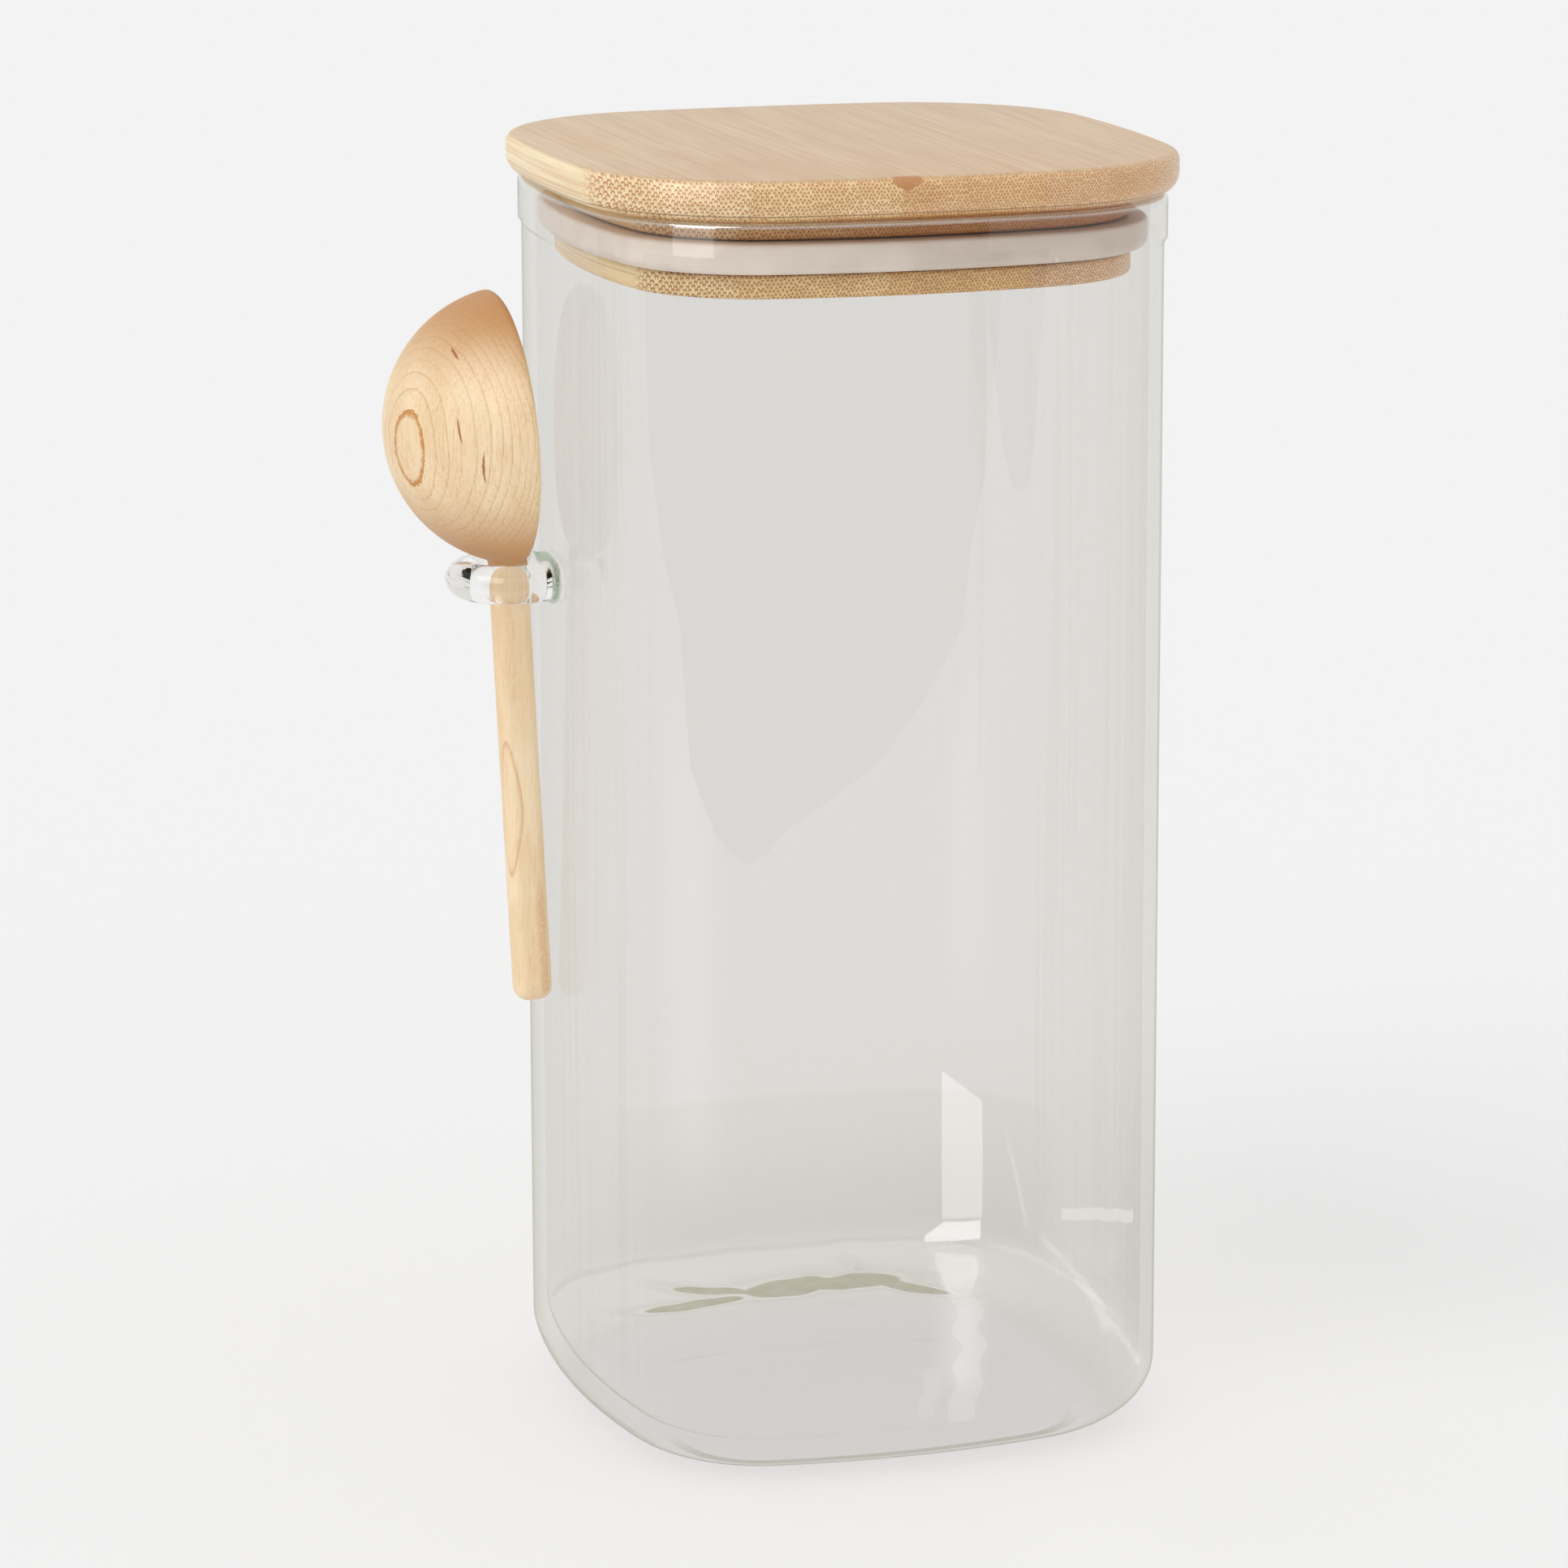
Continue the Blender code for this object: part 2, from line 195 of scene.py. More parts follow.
class Wire:
    # a socket of a material, so that its maths is written as sums
    def __init__(self, tree, socket=None):
        self.tree, self.socket = tree, socket

    def add(self, kind, settings=None, values=None, output=0):
        node = self.tree.nodes.new(kind)
        for key, value in (settings or {}).items():
            setattr(node, key, value)
        feed(self.tree, node, values or {})
        return Wire(self.tree, node.outputs[output])

    def beside(self, output):  # another output of the same node
        return Wire(self.tree, self.socket.node.outputs[output])

    def math(self, operation, *others):
        return self.add('ShaderNodeMath', {"operation": operation}, dict(enumerate((self, *others))))

    def __abs__(self):
        return self.math('ABSOLUTE')

    def __add__(self, other):
        return self.math('ADD', other)

    def __sub__(self, other):
        return self.math('SUBTRACT', other)

    def __rsub__(self, other):
        return self.add('ShaderNodeMath', {"operation": 'SUBTRACT'}, {0: other, 1: self})

    def __mul__(self, other):
        return self.math('MULTIPLY', other)

    def __truediv__(self, other):
        return self.math('DIVIDE', other)

    def __pow__(self, other):
        return self.math('POWER', other)

    __radd__ = __add__
    __rmul__ = __mul__


def feed(tree, node, values):
    for key, value in values.items():
        if isinstance(value, Wire):
            tree.links.new(value.socket, node.inputs[key])
        else:
            node.inputs[key].default_value = value


def tone(red, green, blue):
    # a colour as a picture program gives it, from 0 to 255
    return (*[((c / 255 + 0.055) / 1.055) ** 2.4 if c > 10 else c / 3295 for c in (red, green, blue)], 1)


def showAs(wire, shader):
    feed(wire.tree, wire.tree.nodes['Material Output'], {"Surface": shader})


def newFinish(name):
    material = bpy.data.materials.new(name)
    material.use_nodes = True
    return material, Wire(material.node_tree), material.node_tree.nodes['Principled BSDF']


def inMillimetres(wire, centre=(0, 0, 0), turn=(0, 0, 0), stretch=(1, 1, 1)):
    # the place on the piece, in millimetres from a centre
    place = wire.add('ShaderNodeTexCoord', output='Object')
    for settings, values in (
            ({"vector_type": 'TEXTURE'}, {"Location": centre, "Rotation": turn}),
            ({"vector_type": 'POINT'}, {"Scale": [1000 / s for s in stretch]})):
        place = wire.add('ShaderNodeMapping', settings, {"Vector": place, **values})
    return place


def split(place):
    across = place.add('ShaderNodeSeparateXYZ', {}, {"Vector": place})
    return across, across.beside('Y'), across.beside('Z')


def joined(across, along, up):
    return across.add('ShaderNodeCombineXYZ', {}, {"X": across, "Y": along, "Z": up})


def fade(value, low, high):
    # from 0 at low to 1 at high, or the other way round if low is the higher
    if low > high:
        return 1 - fade(value, high, low)
    return value.add('ShaderNodeMapRange', {"interpolation_type": 'SMOOTHSTEP'},
                     {"Value": value, "From Min": low, "From Max": high})


def between(value, start, full, last, end):
    # 1 from full to last, and down to 0 at the start and the end
    return fade(value, start, full) * fade(value, end, last)


def blend(amount, first, second):
    return amount.add('ShaderNodeMix', {"data_type": 'RGBA'}, {0: amount, 6: first, 7: second}, 2)


def mixShaders(amount, first, second):
    return amount.add('ShaderNodeMixShader', {}, {0: amount, 1: first, 2: second})


def noise(place, scale, detail=2, roughness=0.5):
    return place.add('ShaderNodeTexNoise', {}, {
        "Vector": place, "Scale": scale, "Detail": detail, "Roughness": roughness})


def bump(height, strength, depth):
    return height.add('ShaderNodeBump', {}, {"Height": height, "Strength": strength, "Distance": depth})


jarPlan = {"half": 0.050, "cornerRadius": 0.028, "sideRadius": 0.143, "sideSteps": 14, "cornerSteps": 22}
jar = {
    "height": 0.2093, "wall": 0.0024, "floor": 0.0045,
    "baseRound": (0.0155, 0.0115),  # out from the wall, and up from the base
    "lipHeight": 0.0080, "lipProud": 0.0006, "lipRound": 0.0008, "ledge": 0.0009,
    "roundSteps": 14, "lipSteps": 5,
    "rows": (0.030, 0.134, 0.158),    # rows of points across the walls, low down and round the ring
    "cavityReach": 0.0002,            # faces up to this far outside the cavity's plan are its own
    "cavityLean": 0.2,                # if their normals lean up or to the middle by more than this
}
ring = {
    "centre": (-0.05726619, 0, 0.1459), "radius": 0.007266, "rod": 0.0032,
    "weldSize": (0.0018, 0.0088, 0.0043), "weldDrop": 0.0004,
    "cutAt": -0.0488,                          # halfway into the wall
    "steps": (96, 40), "weldSteps": (48, 32), "voxel": 0.00028, "smoothing": 8,
    "offWall": 0.0001, "halfHeight": 0.006,    # where rod glass takes over from the wall's
}
glassLook = {
    "tint": (0.900, 0.891, 0.872, 1),        # what the wall lets through
    "side": (0.872, 0.861, 0.838, 1),        # the same where it is seen along its length
    "line": (0.60, 0.61, 0.51, 1),           # at the very edge and the lip
    "lamp": (0.982, 0.982, 0.982, 1),        # what it lets through for lamps
    "footLamp": (0.905, 0.905, 0.903, 1),    # the same at the foot, where the glass is thick
    "olive": (0.66, 0.65, 0.53, 1), "thin": (1, 1, 1, 1),
    "headOn": 0.036, "grazing": 0.42,        # what it mirrors seen straight on, and how much more seen flat
    "cavityMirror": 0.4,                     # how much of that the cavity's side does
    "footLampFrom": (11, 2), "lipFrom": (1.0, 0.3),    # height from the base, and depth under the lip
    "seamAt": 11.2,
    # painted highlights low on the right: height at the middle, slope, and where they come in and go out
    "slant": (11.1, 0.19, (-14, -5, 22, 27)), "slantEnd": (7.7, 0.046, (-25, -20, -2, 5)),
    "corner": (24.3, 0.29, (15, 18, 26, 38)),          # the same, with its place at the base first
    # the bright strip's painted reflection on the floor: place across at the middle, slope, and how it
    # bends
    "strip": (23.7, 0.33, 0.0016),
    "branch": (18.0, 0.4, (-36, -31, -12, -4)),        # the strip's, with where it comes in and goes out
    # runs on the floor's back edge: middle, half length, half width, slope
    "runs": ((3.5, 41.1, 8.5, 2.3, 0.03), (15.0, 40.3, 9.0, 1.9, -0.10), (24.3, 36.6, 6.6, 1.9, -0.75),
             (-10.5, 41.6, 7.4, 0.9, -0.10), (-15.0, 38.1, 9.6, 1.3, 0.13)),
    "ringTint": (0.97, 0.97, 0.95, 1), "weldTint": (0.22, 0.34, 0.21, 1), "ior": 1.47,
}


def inside(v):
    # points of the cavity: their normals lean up or to the middle
    out = Vector((v.co.x, v.co.y, 0)).normalized()
    return v.normal.z - v.normal.dot(out) > 0


def onCavity(f):
    # faces of the cavity's floor and walls
    centre = f.calc_center_median()
    out = Vector((centre.x, centre.y, 0)).normalized()
    return (jar["floor"] - near < centre.z < jar["height"] - jar["lipRound"]
            and max(abs(centre.x), abs(centre.y)) < jarPlan["half"] - jar["wall"] + jar["cavityReach"]
            and f.normal.z - f.normal.dot(out) > jar["cavityLean"])


def onRing(f):
    # faces of the ring and its weld
    centre = f.calc_center_median()
    return (centre.x < -jarPlan["half"] - ring["offWall"]
            and abs(centre.z - ring["centre"][2]) < ring["halfHeight"])


def makeJarGlass():
    piece = bowedBlock("jarGlass", jarPlan, 0, 0, jar["height"])
    width, height = jar["baseRound"]
    pick('EDGE', sharpAt(0))
    bevelPicked(width, jar["roundSteps"])
    pick('VERT', lambda v: v.co.z < width + near)
    bpy.ops.transform.resize(value=(1, 1, height / width), center_override=(0, 0, 0))
    bandFoot = jar["height"] - jar["lipHeight"]
    for level in (*jar["rows"], bandFoot, bandFoot + jar["ledge"]):
        bisectAt(level)
    pick('FACE', lambda f: f.calc_center_median().z > bandFoot + jar["ledge"] and abs(f.normal.z) < 0.5)
    bpy.ops.transform.shrink_fatten(value=jar["lipProud"], use_even_offset=True)
    pick('FACE', facing(jar["height"], 1))
    bpy.ops.mesh.inset(thickness=jar["wall"] + jar["lipProud"], use_even_offset=True)
    extrude((0, 0, jar["floor"] - jar["height"]))
    allOutwards()
    width, height = width - jar["wall"], height - jar["wall"]
    pick('EDGE', sharpAt(jar["floor"]))
    bevelPicked(width, jar["roundSteps"])
    pick('VERT', lambda v: jar["floor"] - near < v.co.z < jar["floor"] + width + near and inside(v))
    bpy.ops.transform.resize(value=(1, 1, height / width), center_override=(0, 0, jar["floor"]))
    pick('EDGE', sharpAt(jar["height"]))
    bevelPicked(jar["lipRound"], jar["lipSteps"])
    leave()
    return piece


def makeRing():
    startClean()
    around, section = ring["steps"]
    bpy.ops.mesh.primitive_torus_add(major_radius=ring["radius"], minor_radius=ring["rod"],
                                     major_segments=around, minor_segments=section, location=ring["centre"])
    piece = nameAdded("glassRing")
    startClean()
    around, section = ring["weldSteps"]
    weldAt = (-jarPlan["half"], 0, Vector(ring["centre"]).z - ring["weldDrop"])
    bpy.ops.mesh.primitive_uv_sphere_add(segments=around, ring_count=section, radius=1,
                                         scale=ring["weldSize"], location=weldAt)
    nameAdded("ringWeld")
    joinTo(piece)
    applyModifier(piece, 'REMESH', mode='VOXEL', voxel_size=ring["voxel"])
    applyModifier(piece, 'SMOOTH', factor=0.5, iterations=ring["smoothing"])
    edit()
    bpy.ops.mesh.select_all(action='SELECT')
    bpy.ops.mesh.bisect(plane_co=(ring["cutAt"], 0, 0), plane_no=(1, 0, 0), use_fill=True, clear_outer=True)
    leave()
    return piece


def seeThrough(wire, *keys):
    return [wire.add('ShaderNodeBsdfTransparent', {}, {"Color": glassLook[key]}) for key in keys]


def paintedHighlight(amount, through):
    # painted highlights: pale lines, where uneven glass catches the light, laid on as a lit white layer
    return mixShaders(amount, through, amount.add('ShaderNodeBsdfDiffuse', {}, {"Color": (1, 1, 1, 1)}))


def lampsThrough(wire, glass):
    # lamps and the light that the floor gives back pass straight through
    path = wire.add('ShaderNodeLightPath', output='Is Shadow Ray')
    up = split(inMillimetres(wire))[2]
    clear = mixShaders(fade(up, *glassLook["footLampFrom"]), *seeThrough(wire, "lamp", "footLamp"))
    return mixShaders(path.math('MAXIMUM', path.beside('Is Diffuse Ray')), glass, clear)


def toNearestRun(across, along, sway):
    # how far from the nearest run on the floor, where 1 is a run's edge
    nearest = None
    for x, y, halfLength, halfWidth, slope in glassLook["runs"]:
        bent = along - y - (across - x) * slope + sway * 2.4
        far = (((across - x) / halfLength) ** 2 + (bent / halfWidth) ** 2) ** 0.5
        nearest = far if nearest is None else nearest.math('MINIMUM', far)
    return nearest


def paintedHighlightLines(across, along, up, seam, sway):
    # painted highlights along the right side's seam, a run down the far corner, and its slant to the front
    height, slope, ends = glassLook["slant"]
    slant = up - height - along * slope + sway * 1.4
    slant = fade(abs(slant), 1.7, 0.3) * between(along, *ends)
    place, slope, ends = glassLook["corner"]
    corner = along - place - up * slope + sway * 1.2
    corner = fade(abs(corner), 0.8, 0.25) * between(up, *ends)
    rightSeam = seam * fade(across, 36, 44) * fade(along, -36, -28)
    return rightSeam * 0.3 + (slant * 0.46 + corner * 0.34) * fade(across, 38, 43)


def paintedStripReflection(wire, across, along):
    # painted reflection of the bright strip, rippled across the floor, with a fainter branch towards the
    # front
    ripple = noise(inMillimetres(wire, stretch=(40, 13, 40)), 1, 0) - 0.5
    atBack = fade(along, 30, 36)
    place, slope, bend = glassLook["strip"]
    strip = across - place - along * (slope - along * bend) + ripple * 5.5
    strip = fade(abs(strip) - atBack * 1.2, 2.8, 1.9) * fade(along, -40, -34)
    place, slope, ends = glassLook["branch"]
    branch = across - place - along * slope + ripple * 5
    branch = fade(abs(branch), 1.9, 1.2) * between(along, *ends)
    return strip * (atBack * 0.34 + 0.25) + branch * 0.15


def cavitySide(wire, turned, mirror):
    # uneven, thicker glass where the floor turns up, with a fine seam above it, and painted highlights and
    # a painted strip reflection
    across, along, up = split(inMillimetres(wire))
    side, line, olive, thin = seeThrough(wire, "side", "line", "olive", "thin")
    sway = noise(inMillimetres(wire, stretch=(11, 40, 11)), 1, 1) - 0.5
    seam = up - glassLook["seamAt"] + sway * 1.6
    seam = between(seam, -0.3, 0.3, 0.5, 1.5) * fade(turned, 0.95, 0.6) * fade(along, -25, 0)
    streaks = noise(inMillimetres(wire, stretch=(1.8, 1.8, 130)), 1, 2)
    onWall = fade(up, 9, 16)
    lowBack = fade(up, 40.5, 38.5) * 0.5 + fade(up, 39, 14) * 0.5
    lowBack = lowBack * onWall * fade(along, 8, 34) * fade(across, -45, -10) * 0.6
    darker = fade(turned, 0.40, 0.95) * onWall * 0.30 + seam * (0.7 - fade(across, 36, 44) * 0.6)
    through = mixShaders(darker.math('MAXIMUM', lowBack), thin, side)
    through = mixShaders(fade(streaks, 0.45, 0.7) * fade(turned, 0.2, 0.5) * onWall * 0.18, through, side)
    # the cavity's left edge shows through the thick foot
    rim = fade(turned, 0.84, 0.97) * fade(up, 17, 10) * fade(across, -8, -24) * fade(along, -40, -24)
    through = mixShaders(rim * 0.5, through, line)
    # olive runs on the floor, each with a clear, bright edge
    run = toNearestRun(across, along, sway)
    mottle = noise(inMillimetres(wire, stretch=(3, 1.5, 1.5)), 1, 2)
    low = fade(up, 10, 9)
    through = mixShaders(fade(run, 2.1, 1.3) * low * 0.16, through, olive)
    through = mixShaders(fade(run, 1.30, 1.12) * low, through, thin)
    through = mixShaders(fade(run, 1.04, 0.92) * low * (0.70 + mottle * 0.5), through, olive)
    mirror = mirror * glassLook["cavityMirror"] + fade(run, 1.28, 1.14) * fade(run, 1.0, 1.1) * low * 0.5
    # painted highlights and the strip's painted reflection, laid on as a lit white layer
    paintedGlints = paintedHighlightLines(across, along, up, seam, sway) + paintedStripReflection(wire, across, along) * low
    return paintedHighlight(paintedGlints, through), mirror


def outerSide(wire, turned, mirror):
    # the wall's tint, with darker edges and a bright lip
    across, along, up = split(inMillimetres(wire))
    tint, side, line, thin = seeThrough(wire, "tint", "side", "line", "thin")
    lip = fade(up, *[jar["height"] * 1000 - depth for depth in glassLook["lipFrom"]])
    edge = fade(turned, 0.80, 0.95)
    # the front of the foot, where the glass is thickest, shows as an olive line
    foot = between(up, 0.01, 0.04, 0.16, 0.30) * fade(along, -14, -32) * fade(across, 36, 24)
    through = mixShaders(fade(turned, 0.60, 0.92) * 0.8, tint, side)
    through = mixShaders(fade(up, 2, 0) * 0.9, through, thin)
    through = mixShaders((edge * 0.8).math('MAXIMUM', lip * 0.5) + foot * 0.8, through, line)
    # painted highlight: the low end of the pale slant on the right
    height, slope, ends = glassLook["slantEnd"]
    slant = up - height - along * slope
    slant = fade(abs(slant), 0.9, 0.2) * between(along, *ends)
    return paintedHighlight(slant * fade(across, 42, 45) * 0.46, through), mirror + lip * 0.30


def clearGlassFinish(name, paintSide):
    # thin clear glass: it passes light straight on, and mirrors more the flatter it is seen
    material, wire, skin = newFinish(name)
    turned = wire.add('ShaderNodeLayerWeight', {}, {"Blend": 0.5}, 'Facing')
    mirror = turned ** 5 * glassLook["grazing"] + glassLook["headOn"]
    through, mirror = paintSide(wire, turned, mirror)
    waves = noise(inMillimetres(wire, stretch=(26, 26, 60)), 1, 1)
    feed(wire.tree, skin, {
        "Base Color": (1, 1, 1, 1), "Metallic": 1.0, "Roughness": 0.02,
        "Normal": bump(waves, 0.25, 0.0004),
    })
    showAs(wire, lampsThrough(wire, mixShaders(mirror, through, Wire(wire.tree, skin.outputs[0]))))
    return material


def rodGlassFinish():
    # solid glass, which bends what is seen through it, with a green, bubbly weld
    material, wire, skin = newFinish("rodGlass")
    across, along, up = split(inMillimetres(wire, (-0.0512, 0, 0.1455)))
    fromWeld = ((across / 1.15) ** 2 + (along / 10.5) ** 2 + (up / 6.0) ** 2) ** 0.5
    weld = fade(fromWeld, 1.2, 0.75)
    bubbles = noise(inMillimetres(wire), 1.3, 3, 0.6)
    feed(wire.tree, skin, {
        "Base Color": blend(weld * (bubbles * 0.5 + 0.75), glassLook["ringTint"], glassLook["weldTint"]),
        "Roughness": weld * bubbles * 0.25,
        "Transmission Weight": 1.0, "IOR": glassLook["ior"],
        "Normal": bump(bubbles * weld, 0.8, 0.0005),
    })
    showAs(wire, lampsThrough(wire, Wire(wire.tree, skin.outputs[0])))
    return material


jarGlass = makeJarGlass()
print("jar blown:", len(jarGlass.data.polygons), "faces")
unite(jarGlass, makeRing())
finishPiece(jarGlass, clearGlassFinish("clearGlass", outerSide),
            "jar", "clear_glass", "glass_body", "scoop_ring")
paintFaces(jarGlass, clearGlassFinish("cavityGlass", cavitySide), onCavity)
paintFaces(jarGlass, rodGlassFinish(), onRing)
print("ring fused on:", len(jarGlass.data.polygons), "faces")


lidPlan = {"half": 0.0517, "cornerRadius": 0.032, "sideRadius": 0.277, "sideSteps": 12, "cornerSteps": 24}
lid = {
    "level": 0.2096, "thickness": 0.0068, "topRound": 0.0015, "underRound": 0.0033,
    "topSteps": 6, "underSteps": 8, "glueLine": 0.2106, "glueGap": 0.00006,
    "plugFoot": 0.1965, "plugInset": 0.0055, "plugOverlap": 0.0005, "plugRound": 0.0007, "plugSteps": 4,
    "grooveFloor": 0.2003, "grooveCeiling": 0.2060, "grooveDepth": 0.0026,
}
bambooLook = {
    "top": {
        "strips": [tone(250, 230, 184), tone(246, 220, 170), tone(232, 200, 150), tone(226, 196, 152)],
        "bundle": tone(180, 100, 14), "shift": 0.0, "cutFrom": (-29, -19)},
    # the plug's strips are painted lighter than the top's, as painted light on the flange in the shade
    # under the lid
    "plug": {
        "strips": [tone(255, 232, 176), tone(252, 222, 160), tone(244, 206, 142), tone(238, 204, 160)],
        "bundle": tone(158, 84, 14), "shift": 5.0, "cutFrom": (-21, -11)},
    "middle": 2.4,            # of the pattern, above the glue line
    "stripWidth": 23.9, "jointAt": -29.4,
    "notch": (-4.9, 2.4),     # across, and up from the pattern's middle
    # places where a part of the pattern comes in, and for the neck's painted shade where it goes out again
    "faceFrom": (2.75, 3.35), "neckFrom": (-9.5, -7.5, -3.6, -2.4), "notchFrom": (-49.2, -50.3),
    "face": tone(212, 183, 144), "faceDeep": tone(194, 158, 116),
    "streak": tone(196, 148, 92), "sideStreak": tone(222, 170, 96),
    # neck: painted shade for the plug's neck under the lid
    "neck": tone(176, 100, 26), "node": tone(180, 116, 50), "glue": tone(150, 108, 62),
    "roughness": 0.42,
}


def lidBlank(name):
    piece = bowedBlock(name, lidPlan, 0, lid["level"], lid["level"] + lid["thickness"])
    pick('EDGE', sharpAt(lid["level"] + lid["thickness"]))
    bevelPicked(lid["topRound"], lid["topSteps"])
    pick('EDGE', sharpAt(lid["level"]))
    bevelPicked(lid["underRound"], lid["underSteps"])
    return piece


def makeTopBoard():
    piece = lidBlank("lidTopBoard")
    bisectAt(lid["glueLine"] + lid["glueGap"] / 2, clearBelow=True)
    allOutwards()
    leave()
    return piece


def makePlugBoard():
    board = lidBlank("lidPlugBoard")
    bisectAt(lid["glueLine"] - lid["glueGap"] / 2, clearAbove=True)
    allOutwards()
    leave()
    plug = bowedBlock("lidPlug", jarPlan, lid["plugInset"], lid["plugFoot"],
                      lid["level"] + lid["plugOverlap"])
    bisectAt(lid["grooveFloor"])
    bisectAt(lid["grooveCeiling"])
    pick('FACE', lambda f: lid["grooveFloor"] < f.calc_center_median().z < lid["grooveCeiling"])
    bpy.ops.mesh.extrude_region_shrink_fatten(
        TRANSFORM_OT_shrink_fatten={"value": -lid["grooveDepth"], "use_even_offset": True})
    allOutwards()
    rounded = (lid["plugFoot"], lid["grooveFloor"], lid["grooveCeiling"])
    pick('EDGE', lambda e: any(abs(sum(v.co.z for v in e.verts) / 2 - level) < near for level in rounded)
         and e.calc_face_angle(0) > sharpAngle and e.is_convex)
    bevelPicked(lid["plugRound"], lid["plugSteps"])
    leave()
    unite(board, plug)
    return board


def bundleEnds(across, up, drift, stripNumber, shift):
    # the bundles stand in slanting rows, coarser to the left, and each is a crescent over a pale eye
    grow = across * 0.0062 + 1.62
    rowAcross = across * (across * 0.0031 + 1.62) + drift * 1.6 + stripNumber * 0.37 + shift
    rowUp = (up + drift * 2.5) * grow * 0.60 + stripNumber * 0.21
    lattice = joined(rowAcross + rowUp, rowAcross - rowUp, 0.5)
    cell = lattice.add('ShaderNodeTexVoronoi', {"voronoi_dimensions": '2D', "feature": 'F1'},
                       {"Vector": lattice, "Scale": 1.0, "Randomness": 0.34}, 'Position')
    away = lattice.add('ShaderNodeVectorMath', {"operation": 'SUBTRACT'}, {0: lattice, 1: cell})
    first, second = split(away)[:2]
    aside, above = (first + second) / 2, (first - second) / 2
    body = (aside ** 2 + above ** 2) ** 0.5
    eye = (aside ** 2 + (above + 0.13) ** 2) ** 0.5
    return fade(body, 0.37, 0.25) * fade(eye, 0.13, 0.26), fade(body, 0.5, 0.2)


def bambooFinish(name, board):
    # bundles run along Y: crescents on the front and back edges, fibres on the sides, streaks on top
    material, wire, skin = newFinish(name)
    look = bambooLook
    across, along, up = split(inMillimetres(wire, (0, 0, lid["glueLine"] + look["middle"] / 1000)))
    drift = noise(inMillimetres(wire, stretch=(30, 120, 30)), 1, 1) - 0.5
    strip = (across - look["jointAt"]) / look["stripWidth"]
    stripNumber = strip.math('FLOOR')
    fromJoint = (0.5 - abs(strip - stripNumber - 0.5)) * look["stripWidth"]
    joint = fade(fromJoint, 0.16, 0.05)
    cutAcross = fade(abs(along) - abs(across), *board["cutFrom"])
    topMask = fade(up, *look["faceFrom"])
    ends = bundleEnds(across, up, drift, stripNumber, board["shift"])
    crescents, halo = [shape * cutAcross for shape in ends]

    fibres = noise(inMillimetres(wire, stretch=(0.30, 34, 0.30)), 1, 3, 0.65)
    broad = noise(inMillimetres(wire, stretch=(3.4, 70, 3.4)), 1, 2)
    cloud = noise(inMillimetres(wire, stretch=(16, 28, 16)), 1, 1)
    base = board["strips"][0]
    for number, colour in enumerate(board["strips"][1:]):
        base = blend(fade(stripNumber, number - 0.4, number - 0.1), base, colour)
    base = blend(fade(broad, 0.35, 0.7) * 0.30, base, look["streak"])
    # painted shade: the neck under the lid's overhang is darkened and made more orange, more so towards the
    # right
    neck = between(up, *look["neckFrom"])
    base = blend(neck * (fade(across, -36, 4) * 0.35 + 0.28), base, look["neck"])
    base = blend(halo * 0.16, base, look["streak"])
    base = blend(crescents * 0.88, base, board["bundle"])
    lines = noise(inMillimetres(wire, stretch=(9, 75, 0.36)), 1, 2, 0.6)
    base = blend(fade(lines, 0.48, 0.62) * (1 - cutAcross) * 0.7, base, look["sideStreak"])
    face = blend(fade(fibres * 0.82 + broad * 0.18, 0.38, 0.62), look["face"], look["faceDeep"])
    face = blend(fade(cloud, 0.45, 0.75) * 0.35, face, look["faceDeep"])
    base = blend(topMask * 0.85, base, face)
    base = blend(fade(fibres, 0.52, 0.80) * 0.30, base, look["streak"])
    base = blend(joint * 0.35, base, look["streak"])
    # a stem's node shows as a brown notch in the top of the front edge
    aside, level = look["notch"]
    below = (level - up).math('MAXIMUM', 0)
    notch = abs(across - aside + drift * 2) + below * 2.0 + (cloud + fibres) * 1.4
    notch = fade(notch, 4.2, 3.3) * fade(along, *look["notchFrom"])
    base = blend(notch * 0.75, base, look["node"])
    glue = fade(abs(up + look["middle"]), 0.20, 0.05)
    base = blend(glue * 0.75, base, look["glue"])
    feed(wire.tree, skin, {
        "Base Color": base,
        "Roughness": look["roughness"] + fibres * 0.14 - crescents * 0.05,
        "Specular IOR Level": 0.5,
        "Coat Weight": (1 - neck) * (0.60 - topMask * 0.32), "Coat Roughness": 0.28,
        "Normal": bump(fibres * 0.6 - crescents * 0.4 - joint * 0.3, 0.3, 0.00008),
    })
    return material


topBoard = makeTopBoard()
finishPiece(topBoard, bambooFinish("bambooTop", bambooLook["top"]), "lid", "bamboo", "lid_top_board")
plugBoard = makePlugBoard()
finishPiece(plugBoard, bambooFinish("bambooPlug", bambooLook["plug"]), "lid", "bamboo", "lid_plug_board")
print("lid glued up:", len(topBoard.data.polygons) + len(plugBoard.data.polygons), "faces")


seal = {
    "inset": 0.0027, "bottom": 0.2006, "top": 0.2057, "upperRound": 0.0007, "lowerRound": 0.0018,
    "upperSteps": 4, "lowerSteps": 6, "width": 0.0051,
}
sealLook = {
    "milk": tone(243, 231, 220), "shade": tone(206, 191, 178), "roughness": 0.30,
    "shadeFrom": (-34, 26),    # across, from the milky side to the shaded one
}


